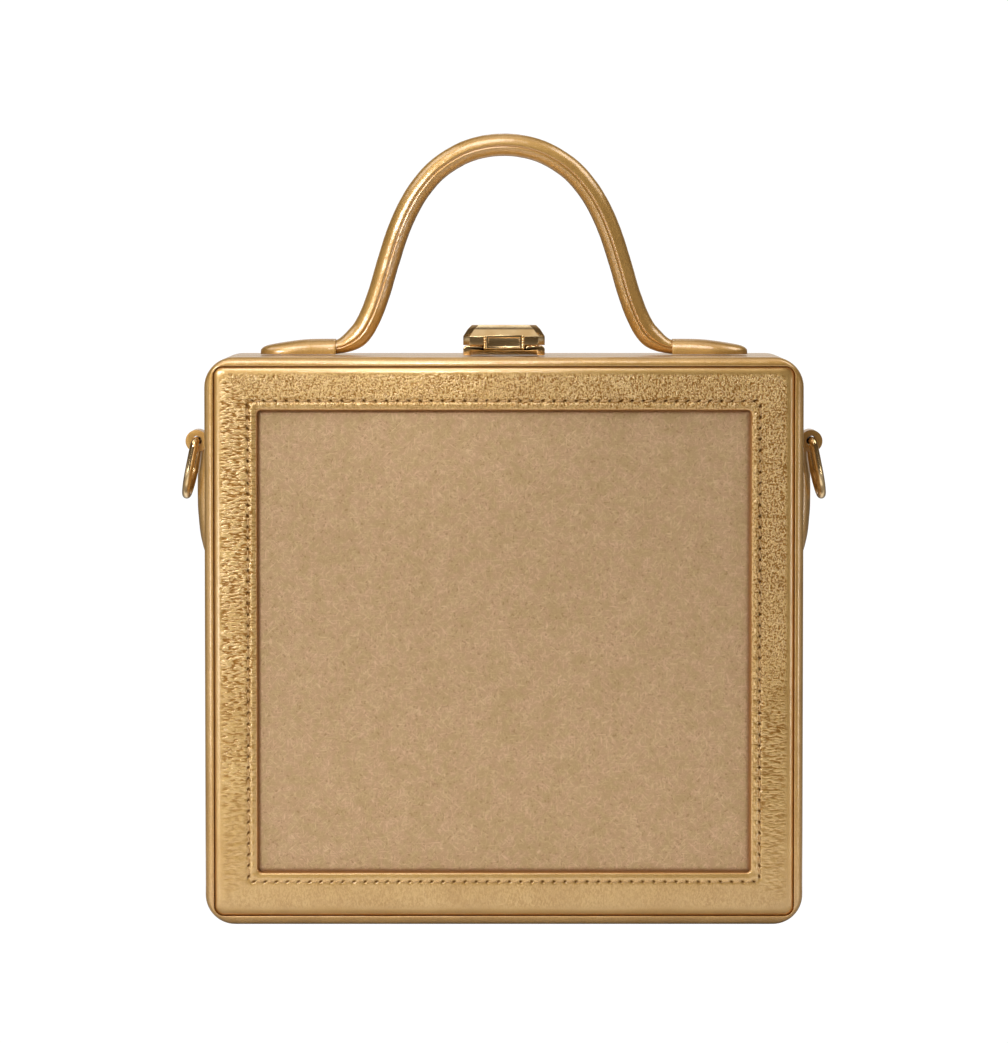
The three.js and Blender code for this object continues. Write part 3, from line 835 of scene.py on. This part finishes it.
def make_border():
    count, runs = stitch_columns()
    spacing = STITCH_PITCH / COLUMNS_PER_STITCH
    halfway = COLUMNS_PER_STITCH // 2
    away = np.full(count, 99.0)  # from the nearest needle hole
    for hole in np.concatenate(runs):
        for step in range(-halfway, halfway + 1):
            column = (hole + step) % count
            away[column] = min(away[column], abs(step) * spacing)
    between = smooth_step(0, halfway * spacing, away)
    rings = []
    made = {"ripples": [], "pleats": [], "pebbles": [], "seam": [], "hole_shade": []}
    for inset in border_rings():
        flat = border_outline(inset)
        x, z = flat[:, 0], flat[:, 1]
        hole = np.exp(-((away / 0.5) ** 2) - ((inset - STITCH_LINE) / 0.4) ** 2)
        fade = smooth_step(1.7, 3.8, inset)
        fade *= 1 - 0.6 * smooth_step(STITCH_LINE, BORDER - 0.6, inset)
        pull = 1 - 0.75 * border_parts(x, z)[3]
        height = border_relief(inset, pull, between) - HOLE_DEPTH * hole
        height += 0.12 * noise(x / 20, z / 20, 51) * fade
        height += GRAIN_RELIEF * crackle(x / 2.4, z / 1.6, 1) * fade * pull
        rings.append(at(flat, FRONT + EDGE_RISE - height + BORDER_BACK))
        for name, part in zip(made, grain_parts(x, z)):
            made[name].append(part * fade)
        # seam colour: edge paint plus painted shade at the frame's outer edge down into the groove, and a
        # painted shadow line along the window's edge
        outer_edge = math.exp(-((inset / 0.2) ** 2))
        window_shadow_line = 0.8 * smooth_step(BORDER - 0.4, BORDER - 0.1, inset)
        made["seam"].append(np.full(count, max(outer_edge, window_shadow_line)))
        # the holes' mask paints shade into the needle holes and takes the coat off there
        made["hole_shade"].append(np.clip(1.4 * hole, 0, 1))
    inner = border_outline(BORDER)
    outer = border_outline(0)
    # the turned edge and the hidden rings behind it carry the full seam colour, a painted shadow
    for ring in (at(inner, FRONT + WINDOW_TURN), at(inner, border_high[1]), at(outer, border_high[1])):
        rings.append(ring)
        for name, values in made.items():
            values.append(np.full(count, 1.0 if name == "seam" else 0.0))
    piece = loft("face_border_leather", rings, "front", (GRAINED,), loop=True, sharp=70)
    for name, values in made.items():
        store(piece, name, np.concatenate(values))
    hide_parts("front_frame")
    make_stitches(at(border_outline(STITCH_LINE), FRONT + THREAD_LEVEL), runs)


THREAD_RADIUS = 0.27
THREAD_SLANT = 0.16
THREAD_END = 0.55  # from a needle hole's middle to the stitch's end
THREAD_LEVEL = 0.22  # the stitches' line behind the frame's front
THREAD_SINK = 0.28  # how far a stitch's ends go below that line
THREAD_ARCH = 0.34  # how far its middle rises from its ends
THREAD_RINGS = 7
THREAD_SIDES = 8


def make_stitches(line, runs):
    """Thread from needle hole to needle hole round the window, slightly slanted."""
    points, faces = [], []
    middle = np.array((0, 0, MIDDLE))
    forwards = np.array((0, -1, 0))
    for run in runs:
        for a, b in zip(run[:-1], run[1:]):
            start, end = line[a], line[b]
            ahead = (end - start) / np.linalg.norm(end - start)
            outwards = np.cross(forwards, ahead)
            if np.dot(outwards, start - middle) < 0:
                outwards = -outwards
            start = start + ahead * THREAD_END + outwards * THREAD_SLANT
            end = end - ahead * THREAD_END - outwards * THREAD_SLANT
            base = len(points)
            faces += [[base + point for point in face] for face in tube_faces(THREAD_RINGS, THREAD_SIDES)]
            for i in range(THREAD_RINGS):
                share = i / (THREAD_RINGS - 1)
                arch = math.sin(share * math.pi)
                rise = THREAD_ARCH * arch ** 0.6 - THREAD_SINK
                centre = mix(start, end, share) + forwards * rise
                radius = THREAD_RADIUS * (0.55 + 0.45 * arch ** 0.5)
                for angle in around(THREAD_SIDES):
                    sideways = outwards * radius * math.cos(angle)
                    points.append(centre + sideways + forwards * radius * math.sin(angle))
    piece = finish_mesh("face_stitches", points, faces, "front", (THREAD,), 60)


def panel_places(low, high, edge, count):
    """Places across the felt, close together where it dips at the window's edge."""
    near = np.array([-0.6, -0.2, 0.1, 0.4, 0.75, 1.15, 1.6, 2.2, 3])
    inner = np.linspace(low + edge + 4, high - edge - 4, count)
    return np.concatenate(([low], low + edge + near, inner, (high - edge - near)[::-1], [high]))


def make_panel():
    """The recessed felt: a sheet with a faint swell that dips under the frame."""
    half = panel_high[0]
    window = border_high[0] - BORDER
    x = panel_places(-half, half, half - window, 150)
    z = panel_places(panel_low[2], panel_high[2], half - window, 140)
    grid_x, grid_z = np.meshgrid(x, z)
    lumps = 0.05 * noise(grid_x / 1.7, grid_z / 1.7, 61) + 0.09 * noise(grid_x / 13, grid_z / 13, 62)
    upright_in = MIDDLE - border_low[2] - BORDER - np.abs(grid_z - MIDDLE)
    inside = np.minimum(window - np.abs(grid_x), upright_in)
    dip = PANEL_DIP * (1 - smooth_step(0, 1.6, inside))
    front = panel_low[1] + 0.1 - lumps + dip
    points = ring_of(grid_x.ravel(), front.ravel(), grid_z.ravel())
    index = np.arange(len(points)).reshape(len(z), len(x))
    corners = (index[:-1, :-1], index[:-1, 1:], index[1:, 1:], index[1:, :-1])
    quads = np.stack(corners, axis=-1).reshape(-1, 4)
    edge = np.concatenate((index[0, :-1], index[:-1, -1], index[-1, :0:-1], index[:0:-1, 0]))
    behind = ring_of(points[edge, 0], panel_high[1], points[edge, 2])
    around_back = len(points) + np.arange(len(edge))
    walls = np.column_stack((edge, around_back, np.roll(around_back, -1), np.roll(edge, -1)))
    faces = quads.tolist() + walls.tolist() + [around_back.tolist()]
    piece = finish_mesh("face_panel_felt", np.vstack((points, behind)), faces, "front", (FELT,))
    # painted shade along the felt's edge under the frame, kept as the seam value
    shade = 0.8 * (1 - smooth_step(0.2, 1.3, inside)).ravel()
    store(piece, "seam", np.concatenate((shade, np.ones(len(edge)))))
    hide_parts("front_panel")


def back_wave(flat):
    """A faint unevenness of the leather on the back."""
    return BACK_WAVE * noise(flat[:, 0] / BACK_WAVE_SIZE, flat[:, 1] / BACK_WAVE_SIZE, 71)


def make_back():
    """The plain leather on the back, its edges rolled like the frame's."""
    level = np.linspace(0, 1, 90)
    upright = np.linspace(0, 1, 86)
    outer = face_outline(0, BORDER_CORNER, level, upright)
    inner = face_outline(-BACK_REACH, BORDER_CORNER, level, upright)
    middle = np.array((0, MIDDLE))
    rings = [at(outer, back_low[1])]
    for inset in EDGE_RINGS + (2.5, 3.2, 5, 8, 12, 17, 23, 30, BACK_REACH):
        flat = mix(outer, inner, inset / BACK_REACH)
        roll = max(0, 1 - inset / EDGE_ROLL)
        groove = BACK_GROOVE * math.exp(-(((inset - 2.5) / 0.5) ** 2))
        height = EDGE_RISE * math.sqrt(1 - roll ** 2) - groove
        wave = back_wave(flat) * smooth_step(3, 9, inset)
        rings.append(at(flat, BACK - EDGE_RISE + height - BACK_SET_IN + wave))
    for share in (0.75, 0.5, 0.25, 0.06):
        flat = middle + (inner - middle) * share
        rings.append(at(flat, BACK - BACK_SET_IN + back_wave(flat)))
    piece = loft("back_panel_leather", rings, "case", (LEATHER,))
    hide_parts("back_face")


# The handle and its tabs
def smooth_route(points, per_step=24):
    """A smooth curve through the points, with per_step places from one to the next."""
    points = np.array(points, float)
    full = np.vstack((2 * points[0] - points[1], points, 2 * points[-1] - points[-2]))
    made = []
    for i in range(len(full) - 3):
        p = full[i:i + 4]
        t = np.concatenate(([0], np.cumsum(np.sqrt(np.linalg.norm(np.diff(p, axis=0), axis=1)))))
        for s in np.linspace(t[1], t[2], per_step, endpoint=False):
            a = [mix(p[k], p[k + 1], (s - t[k]) / (t[k + 1] - t[k])) for k in range(3)]
            b = [mix(a[k], a[k + 1], (s - t[k]) / (t[k + 2] - t[k])) for k in range(2)]
            made.append(mix(b[0], b[1], (s - t[1]) / (t[2] - t[1])))
    made.append(points[-1])
    return np.array(made)


def evenly(route, count):
    """The same route as count evenly spaced points, and the direction at each."""
    length = np.concatenate(([0], np.cumsum(np.linalg.norm(np.diff(route, axis=0), axis=1))))
    where = np.linspace(0, length[-1], count)
    points = np.column_stack([np.interp(where, length, column) for column in route.T])
    ahead = np.gradient(points, axis=0)
    return points, ahead / np.linalg.norm(ahead, axis=1)[:, None]


TOP_SEAT = HEIGHT + SEAT_GAP
FOOT_Z = TOP_SEAT + HANDLE_FOOT / 2
HANDLE_STATIONS = 260
HANDLE_SEAM = 1.72  # where the seam lies round the roll, in radians from its outer side


def handle_angles():
    """Directions round the roll, closer together at its two seams."""
    even = np.linspace(-math.pi, math.pi, 44, endpoint=False)
    for seam in (-HANDLE_SEAM, HANDLE_SEAM):
        even = even[np.abs(even - seam) > 0.3]
        even = np.concatenate((even, seam + np.linspace(-0.27, 0.27, 11)))
    return np.sort(even)


def make_handle():
    half = [(x * HANDLE_SPAN / 2, FOOT_Z + up * HANDLE_RISE) for x, up in HANDLE_ROUTE]
    ends = HANDLE_SPAN / 2 + HANDLE_SOCKET
    left = [(-ends, FOOT_Z)] + [(-x, z) for x, z in half]
    route = left + half[-2::-1] + [(ends, FOOT_Z)]
    points, ahead = evenly(smooth_route(route), HANDLE_STATIONS)
    angles = handle_angles()
    rings = []
    for i, (middle, along) in enumerate(zip(points, ahead)):
        outwards = np.array((-along[1], along[0]))
        from_mouth = HANDLE_SPAN / 2 - abs(middle[0])
        thick = mix(HANDLE_FOOT, HANDLE_THICK, smooth_step(0, HANDLE_FLATTENING, from_mouth))
        radius = np.ones(len(angles))
        for side in (-1, 1):
            away = (angles * side - HANDLE_SEAM) * HANDLE_THICK / 2
            radius -= 0.075 * bell(away / 0.32)
            radius += 0.028 * bell((away - 0.62) / 0.34)
            radius += 0.012 * bell((away + 0.7) / 0.45)
        wrinkle = noise(np.full(len(angles), i * 0.42), angles * 1.6 + 0.02 * i, 81)
        radius += 0.009 * wrinkle + 0.006 * noise(np.full(len(angles), i * 0.9), angles * 3.1, 82)
        across = np.cos(angles) * radius * thick / 2
        deep = -np.sin(angles) * radius * HANDLE_THICK / 2
        ring = ring_of(middle[0] + outwards[0] * across, deep, middle[1] + outwards[1] * across)
        ring[:, 2] = np.maximum(ring[:, 2], TOP_SEAT)
        rings.append(ring)
    piece = loft("handle_roll", rings, "case", (LEATHER,), sharp=60)
    from_seam = (np.abs(angles) - HANDLE_SEAM) * HANDLE_THICK / 2
    store(piece, "seam", np.tile(0.75 * bell(from_seam / 0.3), len(rings)))
    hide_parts("handle")


# along the tab, share of half its width, share of its height
TAB_FORM = (
    (0, 0.78, 1), (0.2, 0.84, 1), (0.4, 0.94, 0.97), (0.6, 1, 0.86),
    (0.78, 0.93, 0.72), (0.9, 0.72, 0.6), (0.97, 0.45, 0.45), (1, 0.24, 0.3),
)
TAB_LENGTH = 25.5
TAB_WIDTH = 14
TAB_HEIGHT = 5.2
SOCKET_HALF = 4.1
SOCKET_GAP = 0.25
DOME_POWER = 2.6


def dome(count):
    """Across and up shares of a dome's section, squarer than an ellipse."""
    angle = np.linspace(0, math.pi, count)
    round_form = np.stack((np.cos(angle), np.sin(angle)))
    return np.sign(round_form) * np.abs(round_form) ** (2 / DOME_POWER)


def form_at(table, where):
    """A form table read at any place, smoothed."""
    places, *shares = smooth_route(table, 16).T
    return [np.interp(where, places, share) for share in shares]


def make_handle_tab(side, sign):
    across, up = dome(33)
    rings = []
    for along in np.concatenate((np.linspace(0, 0.9, 22), [0.93, 0.955, 0.975, 0.99, 1])):
        half, height = form_at(TAB_FORM, along)
        x = sign * (HANDLE_SPAN / 2 + along * TAB_LENGTH)
        y = across * half * TAB_WIDTH / 2
        z = TOP_SEAT + up * height * TAB_HEIGHT
        rings.append(ring_of(x, y, z))
    piece = loft(f"handle_tab_{side}_leather", rings, "case", (LEATHER,), sharp=50)
    angle = around(32)
    y = SOCKET_HALF * np.cos(angle)
    z = FOOT_Z + (HANDLE_FOOT / 2 + SOCKET_GAP) * np.sin(angle)
    socket = []
    for x in (HANDLE_SPAN / 2 - 1, HANDLE_SPAN / 2 + HANDLE_SOCKET + SEAT_GAP):
        socket.append(ring_of(sign * x, y, z))
    combine(piece, [loft("socket", socket, "case", ())], "DIFFERENCE", 50)
    soften(piece, 0.35, 3, 55)
    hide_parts(f"handle_tab_{side}")


# The side tabs and the strap rings
# down the tab, share of half its width, share of its thickness
SIDE_TAB_FORM = (
    (0, 0.86, 0.7), (0.13, 0.92, 0.76), (0.23, 0.97, 0.9), (0.31, 1, 1), (0.57, 1, 1),
    (0.68, 0.96, 0.92), (0.8, 0.86, 0.8), (0.9, 0.66, 0.6), (0.97, 0.4, 0.4), (1, 0.2, 0.22),
)
SIDE_TAB_WIDTH = 16
SIDE_TAB_LENGTH = 38.5
SIDE_TAB_THICK = 3.7
SIDE_SEAT = HALF + SEAT_GAP


def make_side_tab(side, sign):
    across, out = dome(37)
    rings = []
    for down in np.concatenate((np.linspace(0, 0.9, 40), [0.92, 0.94, 0.96, 0.975, 0.99, 1])):
        half, thick = form_at(SIDE_TAB_FORM, down)
        x = sign * (SIDE_SEAT + out * thick * SIDE_TAB_THICK)
        y = across * half * SIDE_TAB_WIDTH / 2
        rings.append(ring_of(x, y, BAR_Z - down * SIDE_TAB_LENGTH))
    piece = loft(f"side_tab_{side}_leather", rings, "case", (LEATHER,), sharp=50)
    bar = (sign * BAR_X, BAR_Z)
    loop = rod("loop", LOOP_OUTSIDE, (-LOOP_HALF, LOOP_HALF), bar, "case", 72, "y")
    bore = rod("bore", LOOP_INSIDE, (-LOOP_HALF - 9, LOOP_HALF + 9), bar, "case", 48, "y")
    combine(piece, [loop], "UNION", 50)
    combine(piece, [bore], "DIFFERENCE", 50)
    soften(piece, 0.5, 4, 50)
    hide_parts(f"side_tab_{side}")


def ring_line():
    """The middle of a strap ring's wire: a half round, two bends and the bar, as (y, down)."""
    points = []
    straight = RING_LENGTH - RING_LIMB
    for angle in np.linspace(0, math.pi, 41):
        drop = straight + (RING_LENGTH - straight) * math.sin(angle)
        points.append((-RING_LIMB * math.cos(angle), -drop))
    quarter = np.linspace(0, 1, 9) * math.pi / 2
    for end, angles in ((1, quarter), (-1, quarter[::-1])):
        for angle in angles:
            y = RING_LIMB - RING_BEND * (1 - math.cos(angle))
            points.append((end * y, -RING_BEND * (1 - math.sin(angle))))
    return np.array(points)


def make_strap_ring(side, sign):
    points = ring_line()
    ahead = np.roll(points, -1, axis=0) - np.roll(points, 1, axis=0)
    ahead /= np.linalg.norm(ahead, axis=1)[:, None]
    tilt = math.radians(RING_TILT)
    angle = around(24)
    across = RING_WIRE / 2 * np.cos(angle)
    proud = RING_WIRE / 2 * np.sin(angle)
    rings = []
    for (y, down), (ahead_y, ahead_down) in zip(points, ahead):
        ring_y = y - ahead_down * across
        ring_down = down + ahead_y * across
        x = BAR_X + proud * math.cos(tilt) - ring_down * math.sin(tilt) - RING_YAW * ring_y
        z = BAR_Z + ring_down * math.cos(tilt) + proud * math.sin(tilt)
        rings.append(ring_of(sign * x, ring_y, z))
    piece = loft(f"strap_ring_{side}_metal", rings, f"ring_{side}", (BRASS,), loop=True)
    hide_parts(f"strap_ring_{side}")


# The clasp
_, LEVER_BACK, LEVER_TOP = box_of("clasp_lever")[1]
LEVER_BOTTOM = 193.75
LEVER_FRONT = -21.6
LEVER_CORNER = 2.2
LEVER_HOLLOW = 12  # half its width
LEVER_WALL = 1.4
LEVER_ROOF = 3.1
CLASP_HALF = 13.7
PIVOT = (-8.5, 195.3)
PIN_RADIUS = 0.8
PIN_GAP = 0.15
# share of the lever's height, step in at its sides, step in at its ends
LEVER_FORM = ((0, 0, 0), (0.44, 0, 0), (0.79, 1.5, 2.2), (1, 2.9, 5.1))
THUMB_HALF = 6
THUMB_LOW = 192.4
THUMB_HEIGHT = 4.7
THUMB_PROUD = 0.8
THUMB_SINK = 0.15  # how far it goes into the lever's front
THUMB_RIM = 0.8
THUMB_WELL = 0.55
BEAD_RADIUS = 0.62
BEAD_AWAY = 0.35  # from the thumb plate's side, and from the lever's front
BEADS = 5
BEAD_RINGS = 10
BEAD_SIDES = 14
# levels whose points go up, as (from, to, by how much)
CATCH_LIFTS = ((192.2, 194, 0.2), (191.9, 192.19, 0.24), (191.2, 191.6, 0.3))
BASE_LIFTS = ((191.2, 191.4, 0.35),)
MERGE = 0.02


def plan_ring(half, ends, z):
    """A level ring with cut corners, for the lever."""
    front, back = ends[0] + LEVER_CORNER, ends[1] - LEVER_CORNER
    side = half - LEVER_CORNER
    points = []
    for quarter, (x, y) in enumerate(((side, back), (-side, back), (-side, front), (side, front))):
        for angle in (quarter * math.pi / 2, (quarter + 1) * math.pi / 2):
            points.append((x + LEVER_CORNER * math.cos(angle), y + LEVER_CORNER * math.sin(angle), z))
    return np.array(points)


def bead(centre):
    """A small ball beside the thumb plate."""
    angle = around(BEAD_SIDES)
    rings = []
    for i in range(1, BEAD_RINGS):
        polar = i / BEAD_RINGS * math.pi
        across = BEAD_RADIUS * math.sin(polar)
        x = centre[0] + across * np.cos(angle)
        y = centre[1] + across * np.sin(angle)
        rings.append(ring_of(x, y, centre[2] + BEAD_RADIUS * math.cos(polar)))
    return loft("bead", rings, "lever", (BRASS,), sharp=80)


def thumb_plate():
    """The plate that the thumb lifts, with a sunk field inside its rim."""
    face = LEVER_FRONT - THUMB_PROUD
    tall = (THUMB_LOW, THUMB_LOW + THUMB_HEIGHT)
    deep = (face, LEVER_FRONT + THUMB_SINK)
    thumb = block("thumb", (-THUMB_HALF, THUMB_HALF), deep, tall, "lever", (BRASS,))
    half = THUMB_HALF - THUMB_RIM
    inside = (tall[0] + THUMB_RIM, tall[1] - THUMB_RIM)
    well = block("well", (-half, half), (face - 1, face + THUMB_WELL), inside, "lever")
    combine(thumb, [well], "DIFFERENCE", 20)
    soften(thumb, 0.18, 3, 30)
    return thumb


def make_lever():
    height = LEVER_TOP - LEVER_BOTTOM
    rings = []
    for up, side_step, end_step in LEVER_FORM:
        ends = (LEVER_FRONT + end_step, LEVER_BACK - end_step)
        rings.append(plan_ring(CLASP_HALF - side_step, ends, LEVER_BOTTOM + up * height))
    piece = loft("clasp_lever_metal", rings, "lever", (BRASS,), sharp=20)
    deep = (LEVER_FRONT + LEVER_WALL, LEVER_BACK + 1)
    tall = (LEVER_BOTTOM - 1, LEVER_TOP - LEVER_ROOF)
    hollow = block("hollow", (-LEVER_HOLLOW, LEVER_HOLLOW), deep, tall, "lever")
    bore = rod("bore", PIN_RADIUS + PIN_GAP, (-20, 20), PIVOT, "lever", 32)
    combine(piece, [hollow, bore], "DIFFERENCE", 20)
    soften(piece, 0.22, 3, 18)
    parts = [piece, thumb_plate()]
    for sign in (-1, 1):
        for i in range(BEADS):
            z = THUMB_LOW + (i + 0.5) * THUMB_HEIGHT / BEADS
            parts.append(bead((sign * (THUMB_HALF + BEAD_AWAY), LEVER_FRONT - BEAD_AWAY, z)))
    join_pieces(parts)
    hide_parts("clasp_lever")


def plate(mesh):
    mesh.materials.clear()
    mesh.materials.append(BRASS)


def cad_copy(name, node, body, width, steps, lifts):
    """A node's own shape with its flat faces made whole and its sharp edges rounded."""
    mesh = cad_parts[node].data.copy()
    mesh.name = name
    clean = bmesh.new()
    clean.from_mesh(mesh)
    bmesh.ops.remove_doubles(clean, verts=clean.verts, dist=MERGE * MM)
    bmesh.ops.dissolve_limit(clean, angle_limit=math.radians(1), verts=clean.verts, edges=clean.edges)
    for low, high, lift in lifts:
        for point in clean.verts:
            if low * MM < point.co.z < high * MM:
                point.co.z += lift * MM
    clean.to_mesh(mesh)
    clean.free()
    plate(mesh)
    piece = add_object(mesh)
    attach(piece, body)
    soften(piece, width, steps, 30)
    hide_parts(node)


def make_clasp():
    make_lever()
    cad_copy("clasp_catch_metal", "clasp_catch", "front", 0.4, 4, CATCH_LIFTS)
    cad_copy("clasp_base_metal", "clasp_base", "case", 0.15, 3, BASE_LIFTS)
    for node in ("clasp_pin", "hinge_leaf_front", "hinge_leaf_back", "hinge_pin"):
        plate(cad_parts[node].data)


make_camera()
make_room()
make_lamps()
make_floor()
make_shells()
make_border()
make_panel()
make_back()
make_handle()
for side_name, side_sign in (("left", -1), ("right", 1)):
    make_handle_tab(side_name, side_sign)
    make_side_tab(side_name, side_sign)
    make_strap_ring(side_name, side_sign)
make_clasp()
bpy.context.scene.view_settings.view_transform = "Standard"
